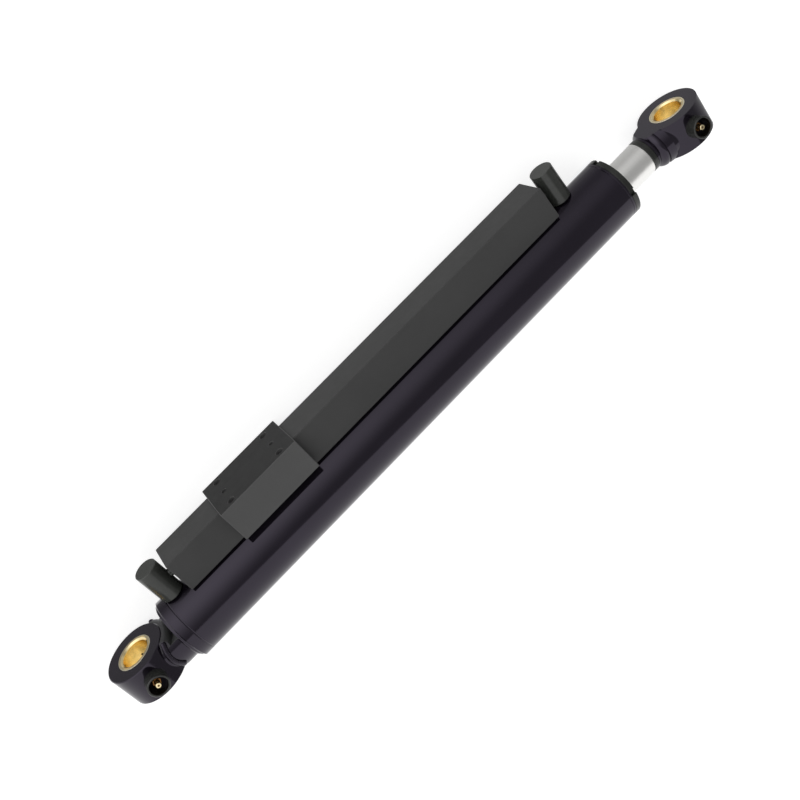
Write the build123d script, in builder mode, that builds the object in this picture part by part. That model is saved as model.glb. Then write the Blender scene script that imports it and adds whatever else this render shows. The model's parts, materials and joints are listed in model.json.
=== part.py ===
from build123d import *
import os

# Double-acting hydraulic cylinder with an oil conduit bar and a valve mounting block, and an eye at each end.
# Millimetres. The origin is the centre of the base eye's bore, +X runs along the cylinder to the rod eye,
# +Y is the eyes' bore axis and the side the valve block faces, +Z is the side of the grease nipples.

# ---- driving dimensions ----
PIN_TO_PIN = 1000.0          # eye to eye, rod fully in
STROKE = 640.0               # rod travel
BARREL_R = 46.0
BORE_R = 37.5                # 75 mm cylinder bore
ROD_R = 25.0                 # 50 mm rod
PIN_R = 20.0                 # 40 mm pins
EYE_R = 43.8
EYE_WIDTH = 50.4
BUSH_R = 26.4                # outside of the eye bushes

PRESS = 0.02                 # gap left between pieces pressed or screwed together
RUNNING = 0.05               # radial gap of guide rings and seals on what slides past them

# ---- stations along X ----
CAP_FACE_X = 55.0            # wall at the end of the neck's milled flat
CAP_END_X = 72.6
TUBE_START_X = 75.4
TUBE_END_X = 866.0
LOCK_RING_END_X = 870.0
GLAND_END_X = 878.0
ROD_CHROME_END_X = 932.0
ROD_NECK_X = 941.0
BASE_PORT_X = 88.0
HEAD_PORT_X = 803.2

# ---- base cap ----
NECK_R = 37.2
NECK_START_X = 20.0
NECK_FLAT_Y = 14.2           # flat milled on the conduit side of the neck
NECK_FLAT_START_X = 30.0
EYE_BLEND_R = 10.0           # hollow blend from the flat up to the eye's face
SHOULDER_FACE_X = 57.0       # the shoulder's face, with a hollow curve at its foot and a round at its rim
SHOULDER_FOOT_R = 3.6
SHOULDER_RIM_R = 3.2
CAP_SPIGOT_END_X = 80.0
CAP_SPIGOT_R = BORE_R - PRESS
CAP_WELD_R = BARREL_R - 0.7  # the weld ring lies a little under the barrel's surface
CAP_RELIEF_R = 24.0          # recess for the rod's tip at the bottom of the bore
CAP_RELIEF_DEPTH = 1.5
EYE_WELD_HEIGHT = 2.8

# ---- conduit ----
BAR_HALF_Z = 26.5
BAR_BOTTOM_Y = 42.7
BAR_TOP_Y = 92.0
BAR_START_X = 109.75
BAR_END_X = 779.6
BLOCK_START_X = 201.2
BLOCK_END_X = 329.0
BLOCK_HALF_Z = 41.7
BLOCK_BOTTOM_Y = 46.0
BLOCK_TOP_Y = 95.85
PASSAGE_Y = 69.0
PASSAGE_R = 5.0
SEAT_R = BARREL_R + 0.05     # hollow that seats the bar and block on the barrel
EDGE_BREAK = 0.8
STITCH_LENGTH = 30.0
STITCHES_X = (125.0, 160.0, 345.0, 445.0, 545.0, 645.0, 740.0)
STITCH_INNER_Z = 17.2
STITCH_TOP_Z = 20.5
STITCH_FOOT_Z = 23.0
STITCH_FOOT_Y = 38.0

# ---- valve face ----
VALVE_HOLES_X = (223.15, 306.0)
VALVE_HOLES_Z = 31.3
VALVE_HOLE_R = 5.25
VALVE_HOLE_DEPTH = 24.0
VALVE_PORTS_X = (223.4, 306.2)
VALVE_PORT_R = 3.7
VALVE_RIM_BREAK = 0.5

# ---- port bosses ----
BOSS_R = 16.3
BOSS_BOTTOM_Y = 46.4
BOSS_TOP_Y = 97.0
BOSS_SPIGOT_R = 9.0
BOSS_SPIGOT_END_Y = 38.6
BOSS_WELD_WIDTH = 3.5
TRANSFER_R = 6.0
TRANSFER_BORE_R = 3.6
TRANSFER_REACH = 8.0         # how far a transfer tube reaches into the boss and the bar
SEAL_GROOVE_R = 4.6
SEAL_GROOVE_WIDTH = 2.6
SEAL_GROOVE_INSET = 3.0

# ---- gland ----
GLAND_START_X = 811.0
GLAND_R = BORE_R - RUNNING
THREAD_R = 40.0
THREAD_START_X = 839.0
GLAND_BORE_R = ROD_R + 0.35
SPANNER_SLOTS = 4
SPANNER_SLOT_WIDTH = 8.6
SPANNER_SLOT_DEPTH = 4.0
GUIDE_THICKNESS = 2.5
GUIDE_WIDTH = 10.0
ROD_GUIDES_X = (814.0, 829.0)
BUFFER_SEAL_X = 842.0
BUFFER_SEAL_WIDTH = 6.0
ROD_SEAL_X = 852.0
ROD_SEAL_WIDTH = 9.0
SEAL_DEPTH_R = 31.0
WIPER_X = 871.5
WIPER_R = 30.0
STATIC_GROOVE_X = 816.0
STATIC_GROOVE_WIDTH = 6.5
STATIC_GROOVE_R = 34.4
STATIC_ORING_WIDTH = 4.0

# ---- piston ----
ROD_TIP_X = 81.2
NUT_START_X = 84.0
PISTON_START_X = 104.0
PISTON_END_X = 154.0
PISTON_R = 37.1
SPIGOT_R = 18.0              # rod spigot through the piston, M36
PISTON_GUIDES_X = (108.0, 138.0)
PISTON_SEAL_X = 124.0
PISTON_SEAL_WIDTH = 8.0
PISTON_SEAL_R = 34.2         # inside of the slide ring, outside of the ring that presses it out
PISTON_GROOVE_R = 31.6
BORE_SEAL_X = 127.0
BORE_SEAL_WIDTH = 4.0
BORE_SEAL_R = 20.4
NUT_FLATS_R = 27.5
SET_SCREW_R = 4.0
SET_SCREW_DIMPLE = 1.5
SET_SCREW_LENGTH = 9.0
SET_SCREW_SOCKET_R = 2.0
SET_SCREW_SOCKET_DEPTH = 4.0
STOP_TUBE_R = 32.0
STOP_TUBE_LENGTH = GLAND_START_X - PISTON_END_X - STROKE - 1.0
FACE_GAP = 0.1               # side gap of rings in their grooves

# ---- eyes ----
BUSH_CHAMFER = 2.2
BUSH_FACE_GROOVE_R = 23.6
BUSH_FACE_GROOVE_WIDTH = 0.9
BUSH_FACE_GROOVE_DEPTH = 0.7
BUSH_GREASE_GROOVE_R = 25.4
BUSH_GREASE_GROOVE_WIDTH = 7.0
BUSH_OIL_HOLE_R = 2.2
BUSH_LOW_HOLE_Y = 3.3        # a smaller oil hole opposite the nipple, off the middle
BUSH_LOW_HOLE_R = 1.6
EYE_CHAMFER = 1.0
GREASE_HOLE_R = 2.5
NIPPLE_THREAD_R = 4.0
NIPPLE_THREAD_START_Z = 35.0
GUARD_R = 15.0
GUARD_BORE_R = 12.2
GUARD_TOP_Z = 59.5
NIPPLE_TOP_Z = 57.6
NIPPLE_HEX_R = 5.5
NIPPLE_HEX_TOP_Z = 48.6
NIPPLE_HEAD_R = 3.7
NIPPLE_HEAD_BREAK = 0.5
NIPPLE_LIP_R = 0.85          # opening of the bore, too small for the ball to leave
NIPPLE_EDGE_BREAK = 0.6
NIPPLE_WAIST_R = 2.4
BALL_R = 1.25
BALL_BORE_R = 1.35
BALL_CENTRE_Z = NIPPLE_TOP_Z - 1.5
SPRING_R = 0.95
SPRING_WIRE_R = 0.2
SPRING_LENGTH = 6.0
SPRING_PITCH = 1.0
ROD_NECK_R = 31.5             # at the end of the flare
ROD_NECK_TOP_R = 34.6
ROD_NECK_TOP_X = 966.0
ROD_NECK_ROOT_R = 24.7
NECK_FLARE_START_X = 944.0
NECK_FLARE_END_X = 953.2
NECK_FLARE_R = 9.62
NECK_GROOVE_X = 954.0
NECK_GROOVE_WIDTH = 1.2
NECK_GROOVE_DEPTH = 0.8
PILOT_R = 12.0
PILOT_END_X = 955.0

FAR = 400.0                  # longer than anything it cuts

os.makedirs("parts", exist_ok=True)


# ---- helpers ----
def facing_y(x, y, z):
    return Plane(origin=(x, y, z), x_dir=(1, 0, 0), z_dir=(0, 1, 0))


def facing_z(x, y, z):
    return Plane(origin=(x, y, z), x_dir=(1, 0, 0), z_dir=(0, 0, 1))


def facing_x(x, y, z):
    return Plane(origin=(x, y, z), x_dir=(0, 1, 0), z_dir=(1, 0, 0))


def turned(*outline, mode=Mode.ADD):
    """Revolve a closed outline of (x, radius) points about the cylinder's axis."""
    with BuildSketch(Plane.XY) as profile:
        with BuildLine():
            Polyline(*outline, close=True)
        make_face()
    revolve(profile.sketch, axis=Axis.X, mode=mode)


def turned_ring(x_start, x_end, r_in, r_out, mode=Mode.ADD):
    turned((x_start, r_in), (x_end, r_in), (x_end, r_out), (x_start, r_out), mode=mode)


def ring_with_broken_edges(x_start, x_end, r_in, r_out, cut):
    turned((x_start, r_in), (x_end, r_in), (x_end, r_out - cut), (x_end - cut, r_out),
           (x_start + cut, r_out), (x_start, r_out - cut))


def round_bar(plane, radius, length, mode=Mode.ADD, both=False):
    with BuildSketch(plane) as section:
        Circle(radius)
    extrude(section.sketch, amount=length, both=both, mode=mode)


def save(part, label):
    part.label = label
    export_step(part, "parts/" + label + ".step")


# ---- eye, bush, nipple guard and nipple, alike at both ends ----
def eye_blank():
    """The eye's round body with its chamfered faces, about the bore axis through x = 0."""
    half = EYE_WIDTH / 2
    round_bar(facing_y(0, 0, 0), EYE_R, half, both=True)
    rims = [rim for rim in edges().filter_by(GeomType.CIRCLE) if abs(abs(rim.center().Y) - half) < 0.01]
    chamfer(rims, EYE_CHAMFER)


def eye_holes(x):
    round_bar(facing_y(x, 0, 0), BUSH_R + PRESS, EYE_WIDTH, mode=Mode.SUBTRACT, both=True)
    round_bar(facing_z(x, 0, BUSH_R - 2), GREASE_HOLE_R, EYE_R - BUSH_R + 4, mode=Mode.SUBTRACT)
    round_bar(facing_z(x, 0, NIPPLE_THREAD_START_Z), NIPPLE_THREAD_R + PRESS, EYE_R, mode=Mode.SUBTRACT)


def make_bush(x, label, low_hole):
    half = EYE_WIDTH / 2
    groove_half = BUSH_GREASE_GROOVE_WIDTH / 2
    with BuildPart() as bush:
        with BuildSketch(Plane.XY):
            with BuildLine():
                Polyline((PIN_R, -half + BUSH_CHAMFER), (PIN_R + BUSH_CHAMFER, -half),
                         (BUSH_R - 0.5, -half), (BUSH_R, -half + 0.5), (BUSH_R, -groove_half),
                         (BUSH_GREASE_GROOVE_R, -groove_half), (BUSH_GREASE_GROOVE_R, groove_half),
                         (BUSH_R, groove_half), (BUSH_R, half - 0.5), (BUSH_R - 0.5, half),
                         (PIN_R + BUSH_CHAMFER, half), (PIN_R, half - BUSH_CHAMFER), close=True)
            make_face()
            with Locations((BUSH_FACE_GROOVE_R, half), (BUSH_FACE_GROOVE_R, -half)):
                Rectangle(BUSH_FACE_GROOVE_WIDTH, 2 * BUSH_FACE_GROOVE_DEPTH, mode=Mode.SUBTRACT)
        revolve(axis=Axis.Y)
        hole_length = BUSH_R - PIN_R + 2
        round_bar(facing_z(0, 0, PIN_R - 1), BUSH_OIL_HOLE_R, hole_length, mode=Mode.SUBTRACT)
        if low_hole:
            round_bar(facing_z(0, BUSH_LOW_HOLE_Y, -BUSH_R - 1), BUSH_LOW_HOLE_R, hole_length, mode=Mode.SUBTRACT)
    save(bush.part.moved(Location((x, 0, 0))), label)


def make_nipple_guard(x, label):
    """Collar standing on the eye, its foot shaped to the eye's round."""
    with BuildPart() as guard:
        with BuildSketch(facing_z(0, 0, EYE_R - 5)):
            Circle(GUARD_R)
            Circle(GUARD_BORE_R, mode=Mode.SUBTRACT)
        extrude(amount=GUARD_TOP_Z - EYE_R + 5)
        rims = [rim for rim in edges().filter_by(GeomType.CIRCLE) if rim.center().Z > GUARD_TOP_Z - 0.01]
        chamfer(rims, EDGE_BREAK)
        round_bar(facing_y(0, 0, 0), EYE_R + PRESS, FAR, mode=Mode.SUBTRACT, both=True)
    save(guard.part.moved(Location((x, 0, 0))), label)


def make_nipple(x, label):
    """Grease nipple: threaded shank, hexagon, waisted head, with a bore for the ball and its spring."""
    foot_z = NIPPLE_THREAD_START_Z + 1
    hex_z = EYE_R + 0.1
    with BuildPart() as nipple:
        with BuildSketch(facing_z(0, 0, hex_z)):
            RegularPolygon(NIPPLE_HEX_R, 6, major_radius=False)
        extrude(amount=NIPPLE_HEX_TOP_Z - hex_z)
        chamfer(edges().group_by(Axis.Z)[-1], NIPPLE_EDGE_BREAK)
        with BuildSketch(Plane.XZ):
            with BuildLine():
                Polyline((0, foot_z), (NIPPLE_THREAD_R - NIPPLE_EDGE_BREAK, foot_z),
                         (NIPPLE_THREAD_R, foot_z + NIPPLE_EDGE_BREAK), (NIPPLE_THREAD_R, NIPPLE_HEX_TOP_Z),
                         (NIPPLE_WAIST_R, NIPPLE_HEX_TOP_Z + 2.5), (NIPPLE_WAIST_R, NIPPLE_TOP_Z - 4.2),
                         (NIPPLE_HEAD_R, NIPPLE_TOP_Z - 2.4),
                         (NIPPLE_HEAD_R, NIPPLE_TOP_Z - NIPPLE_HEAD_BREAK),
                         (NIPPLE_HEAD_R - NIPPLE_HEAD_BREAK, NIPPLE_TOP_Z), (0, NIPPLE_TOP_Z), close=True)
            make_face()
        revolve(axis=Axis.Z)
        seat_z = BALL_CENTRE_Z + 0.3
        with BuildSketch(Plane.XZ):
            with BuildLine():
                Polyline((0, foot_z - 1), (BALL_BORE_R, foot_z - 1), (BALL_BORE_R, seat_z),
                         (NIPPLE_LIP_R, seat_z + 1.0), (NIPPLE_LIP_R, NIPPLE_TOP_Z + 1),
                         (0, NIPPLE_TOP_Z + 1), close=True)
            make_face()
        revolve(axis=Axis.Z, mode=Mode.SUBTRACT)
    save(nipple.part.moved(Location((x, 0, 0))), label)


def make_nipple_ball(x, label):
    with BuildPart(facing_z(x, 0, BALL_CENTRE_Z)) as ball:
        Sphere(BALL_R - 0.05)
    save(ball.part, label)


def make_nipple_spring(x, label):
    """Small coil under the ball, between it and the burr at the foot of the nipple's bore."""
    foot_z = BALL_CENTRE_Z - BALL_R - SPRING_LENGTH
    with BuildPart() as spring:
        with BuildLine() as coil:
            Helix(pitch=SPRING_PITCH, height=SPRING_LENGTH, radius=SPRING_R, center=(x, 0, foot_z))
        with BuildSketch(Plane(coil.line @ 0, z_dir=coil.line % 0)):
            Circle(SPRING_WIRE_R)
        sweep()
    save(spring.part, label)


def eye_fittings(x, end, low_hole):
    make_bush(x, end + "_bush", low_hole)
    make_nipple_guard(x, end + "_nipple_guard")
    make_nipple(x, end + "_grease_nipple")
    make_nipple_ball(x, end + "_nipple_ball")
    make_nipple_spring(x, end + "_nipple_spring")


eye_fittings(0, "base", True)
eye_fittings(PIN_TO_PIN, "rod", False)

# ---- base eye ----
with BuildPart() as base_eye:
    eye_blank()
    eye_holes(0)
save(base_eye.part, "base_eye")

# ---- base cap: neck, shoulder, collar and the spigot that centres it in the tube ----
SHOULDER_START_X = SHOULDER_FACE_X - SHOULDER_FOOT_R
SHOULDER_END_X = SHOULDER_FACE_X + SHOULDER_RIM_R
BLEND_END_R = EYE_R + EYE_BLEND_R
BLEND_TOP_Y = NECK_FLAT_Y + EYE_BLEND_R
with BuildPart() as eye_blend:
    with BuildSketch(Plane.XY):
        with BuildLine():
            Polyline((BLEND_END_R, NECK_FLAT_Y), (BLEND_END_R, NECK_FLAT_Y - 1), (EYE_R - 1, NECK_FLAT_Y - 1),
                     (EYE_R - 1, BLEND_TOP_Y), (EYE_R, BLEND_TOP_Y))
            RadiusArc((EYE_R, BLEND_TOP_Y), (BLEND_END_R, NECK_FLAT_Y), EYE_BLEND_R)
        make_face()
    revolve(axis=Axis.Y)
    round_bar(facing_x(15, 0, 0), NECK_R, CAP_FACE_X - 15, mode=Mode.INTERSECT)

with BuildPart() as base_cap:
    with BuildSketch(Plane.XY):
        with BuildLine():
            Polyline((NECK_START_X, 0), (NECK_START_X, NECK_R), (SHOULDER_START_X, NECK_R))
            RadiusArc((SHOULDER_START_X, NECK_R), (SHOULDER_FACE_X, NECK_R + SHOULDER_FOOT_R), SHOULDER_FOOT_R)
            Line((SHOULDER_FACE_X, NECK_R + SHOULDER_FOOT_R), (SHOULDER_FACE_X, BARREL_R - SHOULDER_RIM_R))
            RadiusArc((SHOULDER_FACE_X, BARREL_R - SHOULDER_RIM_R), (SHOULDER_END_X, BARREL_R), -SHOULDER_RIM_R)
            Polyline((SHOULDER_END_X, BARREL_R), (CAP_END_X, BARREL_R), (CAP_END_X, CAP_SPIGOT_R + 3),
                     (CAP_END_X + 1.4, CAP_SPIGOT_R), (CAP_SPIGOT_END_X, CAP_SPIGOT_R),
                     (CAP_SPIGOT_END_X, 0), (NECK_START_X, 0))
        make_face()
    revolve(axis=Axis.X)
    with BuildSketch(facing_y(NECK_FLAT_START_X, NECK_FLAT_Y, 0)):
        with Locations(((CAP_FACE_X - NECK_FLAT_START_X) / 2, 0)):
            Rectangle(CAP_FACE_X - NECK_FLAT_START_X, 2 * BARREL_R)
    extrude(amount=BARREL_R, mode=Mode.SUBTRACT)
    add(eye_blend.part)
    round_bar(facing_y(0, 0, 0), EYE_R + PRESS, FAR, mode=Mode.SUBTRACT, both=True)
    round_bar(facing_x(CAP_SPIGOT_END_X - CAP_RELIEF_DEPTH, 0, 0), CAP_RELIEF_R, 2 * CAP_RELIEF_DEPTH,
              mode=Mode.SUBTRACT)
save(base_cap.part, "base_cap")

# ---- weld between neck and eye: the band just outside both rounds ----
with BuildPart() as base_eye_weld:
    round_bar(facing_y(0, 0, 0), EYE_R + EYE_WELD_HEIGHT, EYE_WIDTH / 2 - 0.2, both=True)
    round_bar(facing_y(0, 0, 0), EYE_R + 2 * PRESS, FAR, mode=Mode.SUBTRACT, both=True)
    round_bar(facing_x(15, 0, 0), NECK_R + EYE_WELD_HEIGHT, 40, mode=Mode.INTERSECT)
    round_bar(facing_x(15, 0, 0), NECK_R + PRESS, 60, mode=Mode.SUBTRACT)
    with BuildSketch(facing_y(30, NECK_FLAT_Y, 0)):
        Rectangle(FAR, FAR)
    extrude(amount=FAR, mode=Mode.SUBTRACT)
save(base_eye_weld.part, "base_eye_weld")

# ---- cylinder tube ----
with BuildPart() as barrel_tube:
    turned((TUBE_START_X, BORE_R), (THREAD_START_X, BORE_R), (THREAD_START_X + 1.5, THREAD_R),
           (TUBE_END_X, THREAD_R), (TUBE_END_X, BARREL_R - 0.5), (TUBE_END_X - 0.5, BARREL_R),
           (TUBE_START_X, BARREL_R))
    for port_x in (BASE_PORT_X, HEAD_PORT_X):
        round_bar(facing_y(port_x, 20, 0), BOSS_SPIGOT_R + RUNNING, 40, mode=Mode.SUBTRACT)
save(barrel_tube.part, "barrel_tube")

with BuildPart() as base_cap_weld:
    turned((CAP_END_X + PRESS, CAP_SPIGOT_R + 3.6), (TUBE_START_X - PRESS, CAP_SPIGOT_R + 0.6),
           (TUBE_START_X - PRESS, BARREL_R - 0.2), (TUBE_START_X - 1.4, CAP_WELD_R),
           (CAP_END_X + PRESS, BARREL_R - 0.2))
save(base_cap_weld.part, "base_cap_weld")


# ---- port bosses, their welds and the transfer tubes ----
def make_boss(x, bar_side, label):
    """Round boss standing on the barrel; bar_side is +1 or -1, the way its side drilling faces the bar."""
    with BuildPart() as boss:
        round_bar(facing_y(x, BOSS_BOTTOM_Y, 0), BOSS_R, BOSS_TOP_Y - BOSS_BOTTOM_Y)
        rims = [rim for rim in edges().filter_by(GeomType.CIRCLE)]
        chamfer(rims, EDGE_BREAK)
        round_bar(facing_y(x, BOSS_SPIGOT_END_Y, 0), BOSS_SPIGOT_R, BOSS_BOTTOM_Y - BOSS_SPIGOT_END_Y + 1)
        round_bar(facing_y(x, BOSS_SPIGOT_END_Y - 1, 0), PASSAGE_R, PASSAGE_Y + 8 - BOSS_SPIGOT_END_Y,
                  mode=Mode.SUBTRACT)
        round_bar(facing_x(x, PASSAGE_Y, 0), TRANSFER_R + PRESS, bar_side * 2 * BOSS_R, mode=Mode.SUBTRACT)
    save(boss.part, label)


def make_transfer_tube(x_start, x_end, label):
    groove_a = x_start + SEAL_GROOVE_INSET
    groove_b = x_end - SEAL_GROOVE_INSET - SEAL_GROOVE_WIDTH
    with BuildPart() as tube:
        with BuildSketch(facing_x(x_start, PASSAGE_Y, 0)):
            Circle(TRANSFER_R)
            Circle(TRANSFER_BORE_R, mode=Mode.SUBTRACT)
        extrude(amount=x_end - x_start)
        for groove_x in (groove_a, groove_b):
            with BuildSketch(facing_x(groove_x, PASSAGE_Y, 0)):
                Circle(TRANSFER_R + 1)
                Circle(SEAL_GROOVE_R, mode=Mode.SUBTRACT)
            extrude(amount=SEAL_GROOVE_WIDTH, mode=Mode.SUBTRACT)
    save(tube.part, label)
    return groove_a, groove_b


base_tube_ends = (BASE_PORT_X + BOSS_R - TRANSFER_REACH, BAR_START_X + TRANSFER_REACH)
head_tube_ends = (BAR_END_X - TRANSFER_REACH, HEAD_PORT_X - BOSS_R + TRANSFER_REACH)
make_boss(BASE_PORT_X, 1, "base_port_boss")
make_boss(HEAD_PORT_X, -1, "head_port_boss")
seal_stations = make_transfer_tube(*base_tube_ends, "base_transfer_tube")
seal_stations += make_transfer_tube(*head_tube_ends, "head_transfer_tube")

with BuildPart() as transfer_tube_seals:
    for seal_x in seal_stations:
        with BuildSketch(facing_x(seal_x + FACE_GAP, PASSAGE_Y, 0)):
            Circle(TRANSFER_R)
            Circle(SEAL_GROOVE_R + PRESS, mode=Mode.SUBTRACT)
        extrude(amount=SEAL_GROOVE_WIDTH - 2 * FACE_GAP)
save(transfer_tube_seals.part, "transfer_tube_seals")

with BuildPart() as boss_welds:
    for port_x in (BASE_PORT_X, HEAD_PORT_X):
        with BuildSketch(facing_y(port_x, BOSS_SPIGOT_END_Y, 0)):
            Circle(BOSS_SPIGOT_R + BOSS_WELD_WIDTH)
            Circle(BOSS_SPIGOT_R + PRESS, mode=Mode.SUBTRACT)
        extrude(amount=BOSS_BOTTOM_Y - PRESS - BOSS_SPIGOT_END_Y)
    turned_ring(0, PIN_TO_PIN, 0, BARREL_R + PRESS, mode=Mode.SUBTRACT)
save(boss_welds.part, "boss_welds")


# ---- conduit bars and valve block ----
def bar_section(x_start, x_end, half_z, bottom_y, top_y):
    with BuildSketch(facing_x(x_start, (bottom_y + top_y) / 2, 0)) as section:
        Rectangle(top_y - bottom_y, 2 * half_z)
    extrude(section.sketch, amount=x_end - x_start)


def make_conduit_bar(x_start, x_end, outer_x, label):
    """A bar on the barrel with one oil passage; outer_x is the end that faces a boss."""
    inward = 1 if outer_x == x_start else -1
    with BuildPart() as bar:
        bar_section(x_start, x_end, BAR_HALF_Z, BAR_BOTTOM_Y, BAR_TOP_Y)
        chamfer(edges().filter_by(Axis.X), EDGE_BREAK)
        chamfer(faces().sort_by(Axis.X)[0 if inward == 1 else -1].edges(), EDGE_BREAK)
        turned_ring(0, PIN_TO_PIN, 0, SEAT_R, mode=Mode.SUBTRACT)
        round_bar(facing_x(x_start - 1, PASSAGE_Y, 0), PASSAGE_R, x_end - x_start + 2, mode=Mode.SUBTRACT)
        round_bar(facing_x(outer_x, PASSAGE_Y, 0), TRANSFER_R + PRESS, inward * (TRANSFER_REACH + 1),
                  mode=Mode.SUBTRACT)
    save(bar.part, label)


make_conduit_bar(BAR_START_X, BLOCK_START_X, BAR_START_X, "base_conduit_bar")
make_conduit_bar(BLOCK_END_X, BAR_END_X, BAR_END_X, "head_conduit_bar")

with BuildPart() as valve_block:
    bar_section(BLOCK_START_X, BLOCK_END_X, BLOCK_HALF_Z, BLOCK_BOTTOM_Y, BLOCK_TOP_Y)
    chamfer(edges(), EDGE_BREAK)
    bar_section(BLOCK_START_X, BLOCK_END_X, BAR_HALF_Z, BAR_BOTTOM_Y, BLOCK_BOTTOM_Y + 2)
    turned_ring(0, PIN_TO_PIN, 0, SEAT_R, mode=Mode.SUBTRACT)
    hole_places = [(x, z) for x in VALVE_HOLES_X for z in (-VALVE_HOLES_Z, VALVE_HOLES_Z)]
    with Locations(*[facing_y(x, BLOCK_TOP_Y, z) for x, z in hole_places]):
        Hole(VALVE_HOLE_R, VALVE_HOLE_DEPTH)
    with Locations(*[facing_y(x, BLOCK_TOP_Y, 0) for x in VALVE_PORTS_X]):
        Hole(VALVE_PORT_R, BLOCK_TOP_Y - PASSAGE_Y)
    face_rims = [rim for rim in edges().filter_by(GeomType.CIRCLE) if rim.center().Y > BLOCK_TOP_Y - 0.01]
    chamfer(face_rims, VALVE_RIM_BREAK)
    round_bar(facing_x(BLOCK_START_X - 1, PASSAGE_Y, 0), PASSAGE_R, VALVE_PORTS_X[0] - BLOCK_START_X + 5,
              mode=Mode.SUBTRACT)
    round_bar(facing_x(BLOCK_END_X + 1, PASSAGE_Y, 0), PASSAGE_R, VALVE_PORTS_X[1] - BLOCK_END_X - 5,
              mode=Mode.SUBTRACT)
save(valve_block.part, "valve_block")

# ---- stitch welds in the corner between the bar's underside and the barrel ----
with BuildPart() as conduit_bar_welds:
    stitch_top_y = BAR_BOTTOM_Y - PRESS
    for stitch_x in STITCHES_X:
        for side in (-1, 1):
            with BuildSketch(facing_x(stitch_x, 0, 0)):
                with BuildLine():
                    Polyline((STITCH_FOOT_Y, side * STITCH_INNER_Z), (stitch_top_y, side * STITCH_INNER_Z),
                             (stitch_top_y, side * STITCH_TOP_Z), (STITCH_FOOT_Y, side * STITCH_FOOT_Z),
                             close=True)
                make_face()
            extrude(amount=STITCH_LENGTH)
    turned_ring(0, PIN_TO_PIN, 0, BARREL_R + PRESS, mode=Mode.SUBTRACT)
save(conduit_bar_welds.part, "conduit_bar_welds")

# ---- gland with its rings ----
with BuildPart() as gland_lock_ring:
    ring_with_broken_edges(TUBE_END_X + 0.15, LOCK_RING_END_X - 0.15, THREAD_R + PRESS, BARREL_R, 0.6)
save(gland_lock_ring.part, "gland_lock_ring")

with BuildPart() as gland:
    turned((GLAND_START_X, GLAND_BORE_R), (GLAND_END_X, GLAND_BORE_R), (GLAND_END_X, BARREL_R - 0.6),
           (GLAND_END_X - 0.6, BARREL_R), (LOCK_RING_END_X + 0.6, BARREL_R),
           (LOCK_RING_END_X, BARREL_R - 0.6), (LOCK_RING_END_X, THREAD_R - PRESS),
           (THREAD_START_X + 3, THREAD_R - PRESS),
           (THREAD_START_X + 1, GLAND_R - 1), (THREAD_START_X - 2, GLAND_R - 1),
           (THREAD_START_X - 3, GLAND_R), (GLAND_START_X + 1.5, GLAND_R), (GLAND_START_X, GLAND_R - 1.5))
    for guide_x in ROD_GUIDES_X:
        turned_ring(guide_x, guide_x + GUIDE_WIDTH, ROD_R - 1, ROD_R + GUIDE_THICKNESS, mode=Mode.SUBTRACT)
    turned_ring(BUFFER_SEAL_X, BUFFER_SEAL_X + BUFFER_SEAL_WIDTH, ROD_R - 1, SEAL_DEPTH_R,
                mode=Mode.SUBTRACT)
    turned_ring(ROD_SEAL_X, ROD_SEAL_X + ROD_SEAL_WIDTH, ROD_R - 1, SEAL_DEPTH_R, mode=Mode.SUBTRACT)
    turned_ring(WIPER_X, GLAND_END_X + 1, ROD_R - 1, WIPER_R, mode=Mode.SUBTRACT)
    turned_ring(STATIC_GROOVE_X, STATIC_GROOVE_X + STATIC_GROOVE_WIDTH, STATIC_GROOVE_R, BORE_R + 1,
                mode=Mode.SUBTRACT)
    with BuildSketch(facing_x(LOCK_RING_END_X - 0.01, 0, 0)):
        with PolarLocations(BARREL_R, SPANNER_SLOTS):
            Rectangle(2 * SPANNER_SLOT_DEPTH, SPANNER_SLOT_WIDTH)
    extrude(amount=GLAND_END_X - LOCK_RING_END_X + 1, mode=Mode.SUBTRACT)
save(gland.part, "gland")

with BuildPart() as gland_guide_rings:
    for guide_x in ROD_GUIDES_X:
        turned_ring(guide_x + FACE_GAP, guide_x + GUIDE_WIDTH - FACE_GAP, ROD_R + RUNNING,
                    ROD_R + GUIDE_THICKNESS - PRESS)
save(gland_guide_rings.part, "gland_guide_rings")

with BuildPart() as buffer_seal:
    seal_end = BUFFER_SEAL_X + BUFFER_SEAL_WIDTH - FACE_GAP
    turned((BUFFER_SEAL_X + FACE_GAP, SEAL_DEPTH_R - PRESS), (BUFFER_SEAL_X + FACE_GAP, ROD_R + 1.2),
           (BUFFER_SEAL_X + 1.5, ROD_R + RUNNING), (seal_end, ROD_R + RUNNING),
           (seal_end, SEAL_DEPTH_R - PRESS))
save(buffer_seal.part, "buffer_seal")

with BuildPart() as rod_seal:
    # U-shaped lip seal, open towards the oil
    lip_x = ROD_SEAL_X + FACE_GAP
    heel_x = ROD_SEAL_X + ROD_SEAL_WIDTH - FACE_GAP
    turned((lip_x, ROD_R + RUNNING), (heel_x, ROD_R + RUNNING), (heel_x, SEAL_DEPTH_R - PRESS),
           (lip_x, SEAL_DEPTH_R - PRESS), (lip_x, ROD_R + 4.0), (lip_x + 4.0, ROD_R + 3.4),
           (lip_x + 4.0, ROD_R + 2.4), (lip_x, ROD_R + 1.8))
save(rod_seal.part, "rod_seal")

with BuildPart() as rod_wiper:
    lip_end = GLAND_END_X + 0.6
    turned((WIPER_X + FACE_GAP, ROD_R + 1.2), (GLAND_END_X - 1.4, ROD_R + 1.0),
           (GLAND_END_X - 0.2, ROD_R + RUNNING), (lip_end, ROD_R + RUNNING), (lip_end, ROD_R + 1.6),
           (lip_end - 1.0, ROD_R + 2.6), (lip_end - 1.0, WIPER_R - PRESS),
           (WIPER_X + FACE_GAP, WIPER_R - PRESS))
save(rod_wiper.part, "rod_wiper")

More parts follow.
